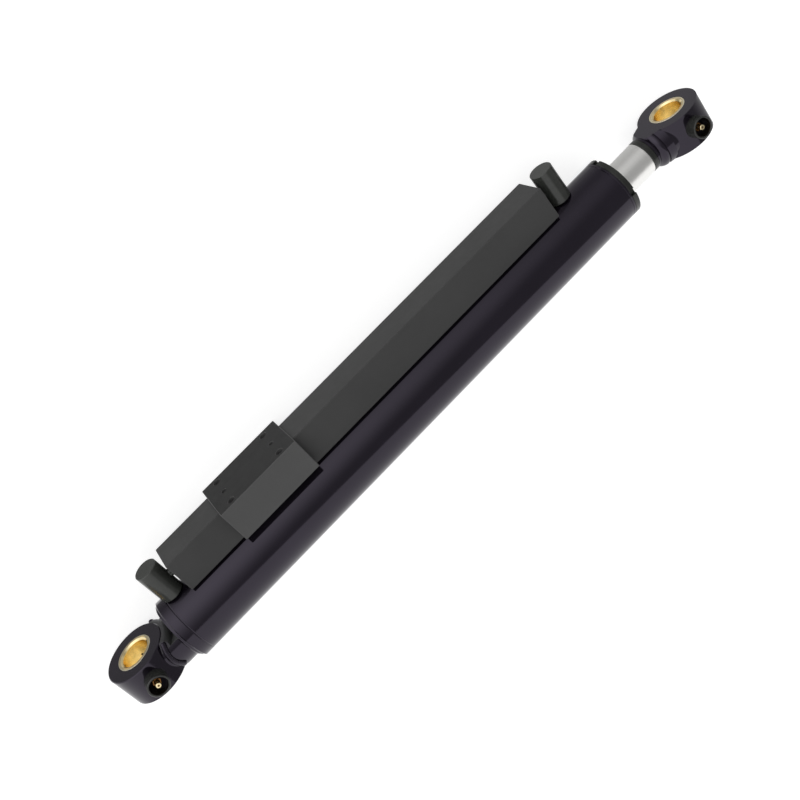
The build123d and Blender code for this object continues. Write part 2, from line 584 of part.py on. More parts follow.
with BuildPart() as gland_oring:
    oring_x = STATIC_GROOVE_X + FACE_GAP
    ring_with_broken_edges(oring_x, oring_x + STATIC_ORING_WIDTH, STATIC_GROOVE_R + PRESS,
                           BORE_R - PRESS, 1.0)
save(gland_oring.part, "gland_oring")

with BuildPart() as gland_backup_ring:
    backup_x = STATIC_GROOVE_X + STATIC_ORING_WIDTH + 3 * FACE_GAP
    groove_end_x = STATIC_GROOVE_X + STATIC_GROOVE_WIDTH
    turned_ring(backup_x, groove_end_x - FACE_GAP, STATIC_GROOVE_R + PRESS, BORE_R - PRESS)
save(gland_backup_ring.part, "gland_backup_ring")

# ---- rod ----
with BuildPart() as piston_rod:
    turned((ROD_TIP_X, 0), (ROD_TIP_X, SPIGOT_R - 1.5), (ROD_TIP_X + 1.5, SPIGOT_R), (PISTON_END_X, SPIGOT_R),
           (PISTON_END_X, ROD_R - 1.0), (PISTON_END_X + 1.0, ROD_R), (ROD_CHROME_END_X - 0.6, ROD_R),
           (ROD_CHROME_END_X, ROD_R - 0.6), (ROD_CHROME_END_X, ROD_R - 5), (ROD_NECK_X, ROD_R - 5),
           (ROD_NECK_X, PILOT_R), (PILOT_END_X, PILOT_R), (PILOT_END_X, 0))
    # dimple for the nut's set screw
    round_bar(facing_z((NUT_START_X + PISTON_START_X) / 2, 0, SPIGOT_R - SET_SCREW_DIMPLE), SET_SCREW_R, FAR,
              mode=Mode.SUBTRACT)
save(piston_rod.part, "piston_rod")

with BuildPart() as rod_end_ring:
    ring_with_broken_edges(ROD_CHROME_END_X + 0.1, ROD_NECK_X - 0.1, ROD_R - 5 + PRESS, ROD_R + 0.3, 0.9)
save(rod_end_ring.part, "rod_end_ring")

# ---- rod eye: neck flared into the eye, its sides flush with the eye's faces ----
GROOVE_END_X = NECK_GROOVE_X + NECK_GROOVE_WIDTH
EYE_ROOT_X = PIN_TO_PIN - 20
with BuildPart() as rod_eye:
    with BuildSketch(Plane.XY):
        with BuildLine():
            Polyline((ROD_NECK_X, 0), (ROD_NECK_X, ROD_NECK_ROOT_R), (NECK_FLARE_START_X, ROD_NECK_ROOT_R))
            RadiusArc((NECK_FLARE_START_X, ROD_NECK_ROOT_R), (NECK_FLARE_END_X, ROD_NECK_R), NECK_FLARE_R)
            Polyline((NECK_FLARE_END_X, ROD_NECK_R), (NECK_GROOVE_X, ROD_NECK_R),
                     (NECK_GROOVE_X, ROD_NECK_R - NECK_GROOVE_DEPTH),
                     (GROOVE_END_X, ROD_NECK_R - NECK_GROOVE_DEPTH), (GROOVE_END_X, ROD_NECK_R + 0.9),
                     (ROD_NECK_TOP_X, ROD_NECK_TOP_R), (EYE_ROOT_X, ROD_NECK_TOP_R), (EYE_ROOT_X, 0),
                     (ROD_NECK_X, 0))
        make_face()
    revolve(axis=Axis.X)
    with BuildSketch(facing_x(ROD_NECK_X - 1, 0, 0)):
        Rectangle(EYE_WIDTH, FAR)
    extrude(amount=PIN_TO_PIN, mode=Mode.INTERSECT)
    round_bar(facing_y(PIN_TO_PIN, 0, 0), EYE_R, EYE_WIDTH / 2, both=True)
    eye_holes(PIN_TO_PIN)
    round_bar(facing_x(ROD_NECK_X - 1, 0, 0), PILOT_R + PRESS, PILOT_END_X - ROD_NECK_X + 1.5,
              mode=Mode.SUBTRACT)
save(rod_eye.part, "rod_eye")

# ---- piston with its rings, nut and stop tube ----
with BuildPart() as piston:
    turned((PISTON_START_X, SPIGOT_R + PRESS), (PISTON_END_X, SPIGOT_R + PRESS),
           (PISTON_END_X, PISTON_R - 1.5), (PISTON_END_X - 1.5, PISTON_R),
           (PISTON_START_X + 1.5, PISTON_R), (PISTON_START_X, PISTON_R - 1.5))
    for guide_x in PISTON_GUIDES_X:
        turned_ring(guide_x, guide_x + GUIDE_WIDTH, BORE_R - GUIDE_THICKNESS, BORE_R, mode=Mode.SUBTRACT)
    turned_ring(PISTON_SEAL_X, PISTON_SEAL_X + PISTON_SEAL_WIDTH, PISTON_GROOVE_R, BORE_R, mode=Mode.SUBTRACT)
    turned_ring(BORE_SEAL_X, BORE_SEAL_X + BORE_SEAL_WIDTH, SPIGOT_R - 1, BORE_SEAL_R, mode=Mode.SUBTRACT)
save(piston.part, "piston")

with BuildPart() as piston_guide_rings:
    for guide_x in PISTON_GUIDES_X:
        turned_ring(guide_x + FACE_GAP, guide_x + GUIDE_WIDTH - FACE_GAP, BORE_R - GUIDE_THICKNESS + RUNNING,
                    BORE_R - RUNNING)
save(piston_guide_rings.part, "piston_guide_rings")

with BuildPart() as piston_seal:
    ring_with_broken_edges(PISTON_SEAL_X + FACE_GAP, PISTON_SEAL_X + PISTON_SEAL_WIDTH - FACE_GAP,
                           PISTON_SEAL_R, BORE_R - RUNNING, 0.6)
save(piston_seal.part, "piston_seal")

with BuildPart() as piston_seal_energiser:
    ring_with_broken_edges(PISTON_SEAL_X + 1, PISTON_SEAL_X + PISTON_SEAL_WIDTH - 1,
                           PISTON_GROOVE_R + RUNNING, PISTON_SEAL_R - PRESS, 0.8)
save(piston_seal_energiser.part, "piston_seal_energiser")

with BuildPart() as piston_bore_oring:
    turned_ring(BORE_SEAL_X + FACE_GAP, BORE_SEAL_X + BORE_SEAL_WIDTH - FACE_GAP, SPIGOT_R + PRESS,
                BORE_SEAL_R - PRESS)
save(piston_bore_oring.part, "piston_bore_oring")

nut_middle_x = (NUT_START_X + PISTON_START_X) / 2
with BuildPart() as piston_nut:
    with BuildSketch(facing_x(NUT_START_X, 0, 0)):
        RegularPolygon(NUT_FLATS_R, 6, major_radius=False, rotation=30)
        Circle(SPIGOT_R + PRESS, mode=Mode.SUBTRACT)
    extrude(amount=PISTON_START_X - NUT_START_X)
    round_bar(facing_z(nut_middle_x, 0, 0), SET_SCREW_R + PRESS, 2 * NUT_FLATS_R, mode=Mode.SUBTRACT)
save(piston_nut.part, "piston_nut")

with BuildPart() as nut_set_screw:
    screw_foot_z = SPIGOT_R - SET_SCREW_DIMPLE + FACE_GAP
    round_bar(facing_z(nut_middle_x, 0, screw_foot_z), SET_SCREW_R - PRESS, SET_SCREW_LENGTH)
    with BuildSketch(facing_z(nut_middle_x, 0, screw_foot_z + SET_SCREW_LENGTH)):
        RegularPolygon(SET_SCREW_SOCKET_R, 6, major_radius=False)
    extrude(amount=-SET_SCREW_SOCKET_DEPTH, mode=Mode.SUBTRACT)
save(nut_set_screw.part, "nut_set_screw")

with BuildPart() as stop_tube:
    ring_with_broken_edges(PISTON_END_X + 0.05, PISTON_END_X + STOP_TUBE_LENGTH, ROD_R + RUNNING,
                           STOP_TUBE_R, 1.0)
save(stop_tube.part, "stop_tube")
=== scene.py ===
import json
from math import cos, pi, radians, sin, sqrt

import bmesh
import bpy
from mathutils import Matrix, Vector


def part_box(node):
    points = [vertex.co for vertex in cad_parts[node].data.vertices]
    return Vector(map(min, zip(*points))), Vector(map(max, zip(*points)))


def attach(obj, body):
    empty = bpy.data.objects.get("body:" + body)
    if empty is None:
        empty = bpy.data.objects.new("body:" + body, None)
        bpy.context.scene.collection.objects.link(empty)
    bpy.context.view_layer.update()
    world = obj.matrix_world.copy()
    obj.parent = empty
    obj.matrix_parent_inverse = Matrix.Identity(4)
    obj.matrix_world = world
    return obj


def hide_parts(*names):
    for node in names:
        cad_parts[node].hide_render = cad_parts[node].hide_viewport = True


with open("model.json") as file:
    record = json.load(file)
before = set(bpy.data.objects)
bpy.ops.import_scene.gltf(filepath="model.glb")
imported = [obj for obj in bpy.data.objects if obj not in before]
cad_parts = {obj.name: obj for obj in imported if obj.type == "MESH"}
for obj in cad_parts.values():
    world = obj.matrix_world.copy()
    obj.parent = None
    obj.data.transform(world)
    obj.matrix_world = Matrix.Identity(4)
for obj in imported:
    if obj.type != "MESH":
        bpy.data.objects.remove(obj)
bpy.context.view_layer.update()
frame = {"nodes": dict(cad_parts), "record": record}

MM = 0.001


# ---- driving sizes, read from the frame ----
def span(node, axis):
    """A CAD node's lowest and highest place along an axis, in metres."""
    low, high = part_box(node)
    return low[axis], high[axis]


X, Y, Z = 0, 1, 2
BARREL_R = span("barrel_tube", Z)[1]
EYE_R = -span("base_eye", X)[0]
EYE_HALF_WIDTH = span("base_eye", Y)[1]
NECK_FLAT_Y = span("base_eye_weld", Y)[1]
NECK_R = 37.2 * MM
CAP_FACE_X = 55.0 * MM                   # where the flat on the neck ends at the cap's shoulder
FLOOR_Z = -BARREL_R
PIN_TO_PIN = 1.0
MIDDLE = Vector((PIN_TO_PIN / 2, 0, 0))


# ---- node helpers ----
class Material:
    """A node material built round one Principled shader, with short names for the nodes that repeat."""

    def __init__(self, name, metallic=0.0, specular=0.5, gloss_tint=(1.0, 1.0, 1.0)):
        self.data = bpy.data.materials.new(name)
        self.data.use_nodes = True
        self.tree = self.data.node_tree
        self.shader = self.tree.nodes["Principled BSDF"]
        self.shader.inputs["Metallic"].default_value = metallic
        self.shader.inputs["Specular IOR Level"].default_value = specular
        self.shader.inputs["Specular Tint"].default_value = (*gloss_tint, 1.0)
        self.place = self.node("ShaderNodeTexCoord").outputs["Object"]
        self.normal = None

    def node(self, kind, **settings):
        made = self.tree.nodes.new(kind)
        for key, value in settings.items():
            setattr(made, key, value)
        return made

    def join(self, source, target):
        self.tree.links.new(source, target)

    def stretched(self, scale):
        """The place on the object, scaled by a different number along each axis."""
        mapping = self.node("ShaderNodeMapping")
        mapping.inputs["Scale"].default_value = scale
        self.join(self.place, mapping.inputs["Vector"])
        return mapping.outputs["Vector"]

    def noise(self, scale, detail=2.0, place=None, roughness=0.5, distortion=0.0):
        made = self.node("ShaderNodeTexNoise")
        made.inputs["Scale"].default_value = scale
        made.inputs["Detail"].default_value = detail
        made.inputs["Roughness"].default_value = roughness
        made.inputs["Distortion"].default_value = distortion
        self.join(place or self.place, made.inputs["Vector"])
        return made.outputs["Fac"]

    def remap(self, value, low, high, to_low, to_high):
        made = self.node("ShaderNodeMapRange")
        made.inputs["From Min"].default_value = low
        made.inputs["From Max"].default_value = high
        made.inputs["To Min"].default_value = to_low
        made.inputs["To Max"].default_value = to_high
        self.join(value, made.inputs["Value"])
        return made.outputs["Result"]

    def colours(self, value, stops):
        """A colour ramp over a value; stops are (position, (r, g, b))."""
        ramp = self.node("ShaderNodeValToRGB")
        elements = ramp.color_ramp.elements
        while len(elements) < len(stops):
            elements.new(0.5)
        for element, (position, colour) in zip(elements, stops):
            element.position = position
            element.color = (*colour, 1.0)
        self.join(value, ramp.inputs["Fac"])
        return ramp.outputs["Color"]

    def arithmetic(self, operation, first, second):
        made = self.node("ShaderNodeMath", operation=operation)
        for socket, value in zip(made.inputs, (first, second)):
            if isinstance(value, bpy.types.NodeSocket):
                self.join(value, socket)
            else:
                socket.default_value = value
        return made.outputs["Value"]

    def coordinate(self, axis):
        parts = self.node("ShaderNodeSeparateXYZ")
        self.join(self.place, parts.inputs[0])
        return parts.outputs[axis]

    def beyond(self, axis, limit, fade=0.1 * MM):
        """1 where the place lies past the limit along an axis, 0 before it."""
        return self.remap(self.coordinate(axis), limit, limit + fade, 0.0, 1.0)

    def near_nipple_axis(self, radius):
        """1 within a radius of the axis of either grease nipple, 0 outside it."""
        from_middle = self.arithmetic("SUBTRACT", self.coordinate(X), MIDDLE.x)
        from_middle = self.arithmetic("ABSOLUTE", from_middle, 0.0)
        from_eye = self.arithmetic("SUBTRACT", from_middle, MIDDLE.x)
        squares = [self.arithmetic("MULTIPLY", value, value) for value in (from_eye, self.coordinate(Y))]
        return self.arithmetic("LESS_THAN", self.arithmetic("ADD", *squares), radius ** 2)

    def blend(self, amount, first, second):
        """Mixes two colours; either may be a socket or an (r, g, b)."""
        mix = self.node("ShaderNodeMix", data_type="RGBA")
        slots = {"Factor": amount, "A": first, "B": second}
        sockets = {"Factor": mix.inputs[0], "A": mix.inputs[6], "B": mix.inputs[7]}
        for key, value in slots.items():
            if isinstance(value, bpy.types.NodeSocket):
                self.join(value, sockets[key])
            elif key == "Factor":
                sockets[key].default_value = value
            else:
                sockets[key].default_value = (*value, 1.0)
        return mix.outputs[2]

    def colour(self, value):
        self.join(value, self.shader.inputs["Base Color"])

    def roughness(self, value, low, high, satin=None, satin_level=0.42):
        """Roughness running from low to high with a 0 to 1 value, and satin where the satin mask is 1."""
        rough = self.remap(value, 0.3, 0.7, low, high)
        if satin is not None:
            rough = self.arithmetic("MAXIMUM", rough, self.arithmetic("MULTIPLY", satin, satin_level))
        self.join(rough, self.shader.inputs["Roughness"])

    def bump(self, height, distance, strength=1.0):
        made = self.node("ShaderNodeBump")
        made.inputs["Distance"].default_value = distance
        made.inputs["Strength"].default_value = strength
        self.join(height, made.inputs["Height"])
        if self.normal is not None:
            self.join(self.normal, made.inputs["Normal"])
        self.normal = made.outputs["Normal"]
        self.join(self.normal, self.shader.inputs["Normal"])


def tinted(colour, factor):
    return tuple(part * factor for part in colour)


# ---- materials ----
MASK_MARGIN = 0.3 * MM                   # how far under a surface its mask starts
FACE_MARGIN = 0.2 * MM
FINE_GRAIN = 3200.0                      # noise scale of the matt paint's grain
ORANGE_PEEL = 420.0                      # noise scale of the enamel's ripple
DUST = 2600.0                            # noise scale of the dust specks


def milled_flat(material):
    """A mask that is 1 on the flat milled into the base cap's neck and on its blend up to the eye."""
    on_flat = material.beyond(Y, NECK_FLAT_Y - MASK_MARGIN)
    past_neck = material.beyond(X, CAP_FACE_X)
    return material.arithmetic("SUBTRACT", on_flat, past_neck)


def make_enamel(name, colour, low, high, flat=False):
    """Sprayed gloss enamel: slight orange peel, faint cloudiness and a few specks of dust."""
    paint = Material(name, specular=0.57, gloss_tint=ENAMEL_GLOSS)
    cloud = paint.noise(14.0, 3.0)
    base = paint.colours(cloud, [(0.35, tinted(colour, 0.85)), (0.65, tinted(colour, 1.2))])
    specks = paint.remap(paint.noise(DUST, 1.0), 0.74, 0.8, 0.0, 0.25)
    speckled = paint.blend(specks, base, tinted(colour, 3.0))
    if flat:
        mask = milled_flat(paint)
        paint.colour(paint.blend(mask, speckled, BLACKENED))
        paint.roughness(paint.noise(45.0, 4.0), low, high, satin=mask)
    else:
        paint.colour(speckled)
        paint.roughness(paint.noise(45.0, 4.0), low, high)
    paint.bump(paint.noise(ORANGE_PEEL, 1.5), 0.006 * MM)
    return paint.data


def make_matt_paint(name, lit_sides, face, face_y, low, high, specular=0.15, grain=0.012 * MM):
    """Textured matt paint: a fine grain and a soft change of tone; the outward face gets a darker tone than
    the sides, which is painted shade for how differently the faces are lit.
    """
    paint = Material(name, specular=specular)
    # 1 on the outward face, which takes the darker tone painted as shade; 0 on the lighter sides
    on_shaded_face = paint.beyond(Y, face_y - FACE_MARGIN)
    cloud = paint.noise(9.0, 4.0)
    fine = paint.noise(FINE_GRAIN, 2.0)
    tones = [paint.colours(cloud, [(0.35, tinted(colour, 0.93)), (0.65, tinted(colour, 1.07))])
             for colour in (lit_sides, face)]
    grit = paint.blend(on_shaded_face, tinted(lit_sides, 1.35), tinted(face, 1.35))
    amount = paint.remap(fine, 0.4, 0.7, 0.0, 0.35)
    paint.colour(paint.blend(amount, paint.blend(on_shaded_face, *tones), grit))
    paint.roughness(paint.noise(60.0, 3.0), low, high)
    paint.bump(fine, grain)
    return paint.data


def make_turned(name, colour, along, metallic, low, high, line=0.004 * MM, specular=0.5, spacing=1500.0,
                tone_and_shade=None, tone_and_shade_colour=None):
    """Turned metal: fine tool lines that run round the given axis, with a little mottling.

    An optional mask function and colour may be given; where the mask is 1 the metal takes that colour: a
    paler tone on the bush faces, painted shade and a grease stain on the nipples, painted shade inside the
    guards.
    """
    metal = Material(name, metallic=metallic, specular=specular)
    scale = [12.0, 12.0, 12.0]
    scale[along] = spacing
    lines = metal.noise(1.0, 3.0, place=metal.stretched(scale))
    mottle = metal.noise(130.0, 5.0)
    base = metal.colours(mottle, [(0.3, tinted(colour, 0.85)), (0.7, tinted(colour, 1.12))])
    clean = metal.blend(metal.remap(lines, 0.35, 0.65, 0.0, 0.3), base, tinted(colour, 1.25))
    metal.colour(metal.blend(tone_and_shade(metal), clean, tone_and_shade_colour) if tone_and_shade else clean)
    metal.roughness(lines, low, high)
    metal.bump(lines, line)
    return metal.data


def bush_face(material):
    """A mask that is 1 on both end faces of the eye bushes."""
    side = material.arithmetic("ABSOLUTE", material.coordinate(Y), 0.0)
    return material.arithmetic("GREATER_THAN", side, EYE_HALF_WIDTH - FACE_MARGIN)


def nipple_shade_and_grease(material):
    """A mask that is 1 on the nipple's foot, where the dark colour is painted shade under its head, and round
    the hole in its head, where it is a grease stain.
    """
    shaded_foot = material.arithmetic("SUBTRACT", 1.0, material.beyond(Z, NIPPLE_SHADE_TOP_Z))
    return material.arithmetic("MAXIMUM", shaded_foot, material.near_nipple_axis(NIPPLE_HOLE_STAIN_R))


def guard_inside_shade(material):
    """A mask that is 1 on the inside of the nipple guards, where the darker colour is painted shade in the
    hollow.
    """
    return material.near_nipple_axis(GUARD_INSIDE_R)


def make_chrome(name, colour, low, high):
    """Hard chrome: ground round the rod, then polished along it, with hair lines both ways."""
    metal = Material(name, metallic=0.96)
    round_lines = metal.noise(1.0, 3.0, place=metal.stretched((2600.0, 30.0, 30.0)))
    long_lines = metal.noise(1.0, 2.0, place=metal.stretched((14.0, 900.0, 900.0)))
    metal.colour(metal.blend(metal.remap(round_lines, 0.3, 0.7, 0.0, 1.0), tinted(colour, 0.96), colour))
    metal.roughness(long_lines, low, high)
    metal.bump(round_lines, 0.0012 * MM)
    metal.bump(long_lines, 0.0004 * MM)
    return metal.data


def make_weld(name, colour):
    """A weld bead under the same paint: a lumpier skin that is glossier on its crests."""
    paint = Material(name, specular=0.57, gloss_tint=ENAMEL_GLOSS)
    lumps = paint.noise(520.0, 4.0)
    paint.colour(paint.colours(lumps, [(0.3, tinted(colour, 0.8)), (0.7, tinted(colour, 1.4))]))
    paint.roughness(lumps, 0.2, 0.34)
    paint.bump(lumps, 0.05 * MM)
    return paint.data


def make_moulded(name, colour, low, high, grain):
    """Rubber or plastic of an inner seal: a fine moulded grain and a slight bloom."""
    plastic = Material(name)
    bloom = plastic.noise(220.0, 4.0)
    plastic.colour(plastic.colours(bloom, [(0.3, tinted(colour, 0.85)), (0.7, tinted(colour, 1.2))]))
    plastic.roughness(bloom, low, high)
    plastic.bump(plastic.noise(1800.0, 3.0), grain)
    return plastic.data


PAINT = (0.0048, 0.0036, 0.0062)
ENAMEL_GLOSS = (0.88, 0.79, 1.0)         # the enamel's shine is faintly purple
# bar and block: the sides and the outward face are lit and shaded copies of one paint, the outward face's
# darker tone being painted shade
BAR_SIDES_LIT = (0.056, 0.056, 0.056)
BAR_FACE_SHADED = (0.047, 0.047, 0.047)
BLOCK_SIDES_LIT = (0.083, 0.083, 0.083)
BLOCK_FACE_SHADED = (0.022, 0.022, 0.022)
BLACKENED = (0.030, 0.032, 0.0285)
CHROME = (0.98, 0.975, 0.95)
GOLD = (0.92, 0.75, 0.40)
PALE_GOLD = (0.88, 0.74, 0.45)
BUSH_FACE = (0.93, 0.86, 0.64)
# dark brown: painted shade on the nipples' feet, and a grease stain round the holes in their heads
SHADE_AND_GREASE = (0.20, 0.10, 0.035)
GUARD_STEEL = (0.018, 0.019, 0.017)
RING_STEEL = (0.014, 0.015, 0.013)
# near black inside the guards: painted shade in their hollow
GUARD_INSIDE_SHADE = (0.007, 0.006, 0.004)

# below this height the nipple's brass takes the dark colour as painted shade
NIPPLE_SHADE_TOP_Z = 49.5 * MM
NIPPLE_HOLE_STAIN_R = 1.5 * MM
GUARD_INSIDE_R = 12.3 * MM

enamel = make_enamel("barrel_enamel", PAINT, 0.07, 0.12)
cap_enamel = make_enamel("base_cap_enamel", PAINT, 0.07, 0.12, flat=True)
bar_matt = make_matt_paint("bar_matt_paint", BAR_SIDES_LIT, BAR_FACE_SHADED, span("base_conduit_bar", Y)[1], 0.5, 0.6)
block_matt = make_matt_paint("block_paint", BLOCK_SIDES_LIT, BLOCK_FACE_SHADED, span("valve_block", Y)[1], 0.4, 0.5)
blackened = {axis: make_turned(f"blackened_steel_{'xyz'[axis]}", BLACKENED, axis, 0.0, 0.17, 0.27)
             for axis in (X, Y)}
chrome = make_chrome("hard_chrome", CHROME, 0.28, 0.32)
bronze = make_turned("bush_bronze", GOLD, Y, 1.0, 0.2, 0.28, line=0.002 * MM,
                     tone_and_shade=bush_face, tone_and_shade_colour=BUSH_FACE)
nipple_brass = make_turned("nipple_brass", PALE_GOLD, Z, 1.0, 0.15, 0.25,
                           tone_and_shade=nipple_shade_and_grease, tone_and_shade_colour=SHADE_AND_GREASE)
ring_steel = make_turned("ring_steel", RING_STEEL, X, 0.0, 0.17, 0.27)
guard_steel = make_turned("guard_steel", GUARD_STEEL, Z, 0.0, 0.17, 0.27,
                          tone_and_shade=guard_inside_shade, tone_and_shade_colour=GUARD_INSIDE_SHADE)
dark_bronze = make_turned("oily_ball", (0.12, 0.06, 0.025), Z, 0.6, 0.3, 0.45)
weld_paint = make_weld("painted_weld", PAINT)
bare_steel = make_turned("machined_steel", (0.56, 0.55, 0.53), X, 1.0, 0.25, 0.4)
spring_steel = make_turned("spring_steel", (0.5, 0.5, 0.5), Z, 1.0, 0.2, 0.3)
rubber = make_moulded("seal_rubber", (0.012, 0.012, 0.012), 0.5, 0.65, 0.01 * MM)
polyurethane = make_moulded("seal_polyurethane", (0.05, 0.16, 0.32), 0.35, 0.5, 0.006 * MM)
guide_plastic = make_moulded("guide_plastic", (0.30, 0.24, 0.15), 0.5, 0.6, 0.01 * MM)

BY_SLOT = {
    "barrel_paint": enamel, "bar_paint": bar_matt, "dark_steel": blackened[X], "chrome_rod": chrome,
    "bronze": bronze, "nipple_brass": nipple_brass, "weld": weld_paint, "bare_steel": bare_steel,
    "gland_iron": blackened[X], "seal_rubber": rubber, "seal_polyurethane": polyurethane,
    "guide_plastic": guide_plastic, "spring_steel": spring_steel,
}
BY_NODE = {
    "base_cap": cap_enamel, "valve_block": block_matt,
    "base_port_boss": blackened[Y], "head_port_boss": blackened[Y],
    "base_nipple_guard": guard_steel, "rod_nipple_guard": guard_steel,
    "gland": ring_steel, "rod_end_ring": ring_steel,
    "base_nipple_ball": dark_bronze, "rod_nipple_ball": dark_bronze,
}

for subpart in frame["record"]["subparts"]:
    node = frame["nodes"][subpart["node"]]
    material = BY_NODE.get(subpart["node"], BY_SLOT[subpart["material_slot"]])
    for slot in node.material_slots:
        slot.material = material


# ---- weld beads ----
def new_mesh(name, vertices, faces, material):
    mesh = bpy.data.meshes.new(name)
    mesh.from_pydata(vertices, [], faces)
    mesh.materials.append(material)
    mesh.update()
    shape = bmesh.new()
    shape.from_mesh(mesh)
    bmesh.ops.recalc_face_normals(shape, faces=shape.faces)
    shape.to_mesh(mesh)
    shape.free()
    for polygon in mesh.polygons:
        polygon.use_smooth = True
    made = bpy.data.objects.new(name, mesh)
    bpy.context.scene.collection.objects.link(made)
    return made


AROUND = 16                    # points round a bead
RIPPLE_PITCH = 1.7 * MM        # from one freeze line of a weld to the next
RIPPLE = 0.07                  # how far a freeze line stands out, as a share of the bead's radius
RIPPLE_LAG = 0.35              # a freeze line's curve back at the bead's crest, as a share of the pitch
BEAD_HEIGHT = 0.85             # a bead's height as a share of its half width
BEAD_STEP = 0.28 * MM


def bead_rings(path, outward, radius):
    """Rings of a weld bead along a path: scalloped, and drawn in to a rounded knob at both ends."""
    rings = []
    travelled = 0.0
    total = sum((b - a).length for a, b in zip(path, path[1:]))
    for index, point in enumerate(path):
        if index:
            travelled += (point - path[index - 1]).length
        before = path[max(index - 1, 0)]
        after = path[min(index + 1, len(path) - 1)]
        along = (after - before).normalized()
        up = (outward[index] - along * outward[index].dot(along)).normalized()
        side = along.cross(up)
        to_end = min(travelled, total - travelled)
        taper = sqrt(max(1 - (1 - min(to_end / radius, 1)) ** 2, 0.0009))
        phase = (travelled / RIPPLE_PITCH) % 1.0
        ripple = 1 + RIPPLE * (1 - (2 * phase - 1) ** 2)
        ring = []
        for step in range(AROUND):
            angle = 2 * pi * step / AROUND
            lag = along * (-RIPPLE_LAG * RIPPLE_PITCH * abs(cos(angle)))
            spoke = up * cos(angle) * BEAD_HEIGHT + side * sin(angle)
            ring.append(point + spoke * radius * taper * ripple + lag * taper)
        rings.append(ring)
    return rings


def bead_mesh(name, beads, material):
    """One mesh of several closed beads; each is (path, outward directions, radius)."""
    vertices, faces = [], []
    for path, outward, radius in beads:
        first = len(vertices)
        rings = bead_rings(path, outward, radius)
        for ring in rings:
            vertices += ring
        for row in range(len(rings) - 1):
            for step in range(AROUND):
                a = first + row * AROUND + step
                b = first + row * AROUND + (step + 1) % AROUND
                faces.append((a, b, b + AROUND, a + AROUND))
        last = first + (len(rings) - 1) * AROUND
        faces.append(tuple(range(first + AROUND - 1, first - 1, -1)))
        faces.append(tuple(range(last, last + AROUND)))
    return new_mesh(name, vertices, faces, material)


EYE_BEAD_R = 3.6 * MM
EYE_BEAD_LIFT = 0.5 * MM
EYE_BEAD_SHIFT = 4.0 * MM        # from the eye's round to the middle of the bead
EYE_BEAD_INSET = 2.2 * MM        # from the eye's near face to the start of the bead


def saddle(side):
    """Round the neck along its corner with the eye, from the eye's near face to its far face."""
    start_y = EYE_HALF_WIDTH - EYE_BEAD_INSET
    end_y = -EYE_HALF_WIDTH + EYE_BEAD_R
    middle_r = EYE_R + EYE_BEAD_SHIFT
    steps = int((start_y - end_y) / BEAD_STEP)
    path, outward = [], []
    for step in range(steps + 1):
        y = start_y + (end_y - start_y) * step / steps
        z = sqrt(NECK_R ** 2 - y ** 2)
        x = sqrt(middle_r ** 2 - z ** 2)
        up = (Vector((0, y, side * z)) / NECK_R + Vector((x, 0, side * z)) / middle_r).normalized()
        path.append(Vector((x, y, side * z)) + up * EYE_BEAD_LIFT)
        outward.append(up)
    return path, outward, EYE_BEAD_R


eye_weld = bead_mesh("base_eye_weld_bead", [saddle(1), saddle(-1)], weld_paint)
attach(eye_weld, "barrel")
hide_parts("base_eye_weld")


RING_WELD_STEPS = 900
RING_WELD_DEPTH = -3.4                   # millimetres from the node's outside to the bead's hidden underside
RING_WELD_RIPPLE = 0.07                  # millimetres


def ring_weld(name, node, material):
    """The weld between cap and tube: a shallow groove's rippled fill, all round the barrel.

    The profile's points are (share of the node's length, height in millimetres over the node's outside),
    and each point's crest says how much of the ripple it takes.
    """
    start_x, end_x = span(node, X)
    outer = span(node, Z)[1]
    around = RING_WELD_STEPS
    profile = [(0.0, RING_WELD_DEPTH), (0.0, 0.18), (0.1, 0.08), (0.3, -0.3), (0.5, -0.5), (0.7, -0.3),
               (0.9, 0.08), (1.0, 0.18), (1.0, RING_WELD_DEPTH)]
    crest = [0, 0, 0.2, 0.8, 1, 0.8, 0.2, 0, 0]
    vertices, faces = [], []
    for turn in range(around):
        angle = 2 * pi * turn / around
        phase = (angle * outer / RIPPLE_PITCH) % 1.0
        lift = RING_WELD_RIPPLE * (1 - (2 * phase - 1) ** 2)
        for (share, depth), part in zip(profile, crest):
            radius = outer + (depth + lift * part) * MM
            vertices.append((start_x + share * (end_x - start_x), radius * sin(angle), radius * cos(angle)))
    count = len(profile)
    for turn in range(around):
        following = (turn + 1) % around
        for point in range(count):
            after = (point + 1) % count
            faces.append((turn * count + point, turn * count + after,
                          following * count + after, following * count + point))
    made = new_mesh(name, vertices, faces, material)
    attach(made, "barrel")
    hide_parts(node)


ring_weld("base_cap_weld_bead", "base_cap_weld", weld_paint)

STITCH_LENGTH = 30 * MM
STITCHES_X = [start * MM for start in (125, 160, 345, 445, 545, 645, 740)]
STITCH_R = 1.9 * MM
STITCH_Y = 41.3 * MM
STITCH_Z = 20.3 * MM


def stitch(start_x, side):
    """A short bead in the corner between the bar's underside and the barrel."""
    steps = int(STITCH_LENGTH / BEAD_STEP)
    centre = Vector((0, STITCH_Y, side * STITCH_Z))
    path = [centre + Vector((start_x + STITCH_LENGTH * step / steps, 0, 0)) for step in range(steps + 1)]
    return path, [Vector((0, 0.25, side))] * len(path), STITCH_R


stitch_beads = [stitch(x, side) for x in STITCHES_X for side in (-1, 1)]
stitches = bead_mesh("conduit_bar_weld_beads", stitch_beads, weld_paint)
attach(stitches, "barrel")
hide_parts("conduit_bar_welds")


# ---- floor and backdrop ----
FLOOR_GLOW = 0.75
FLOOR_PAPER = 0.5
FLOOR_RADII = (0.0, 1.5, 3.0, 4.0)
COVE_R = 1.0                             # the curve between floor and wall
WALL_HEIGHT = 1.6


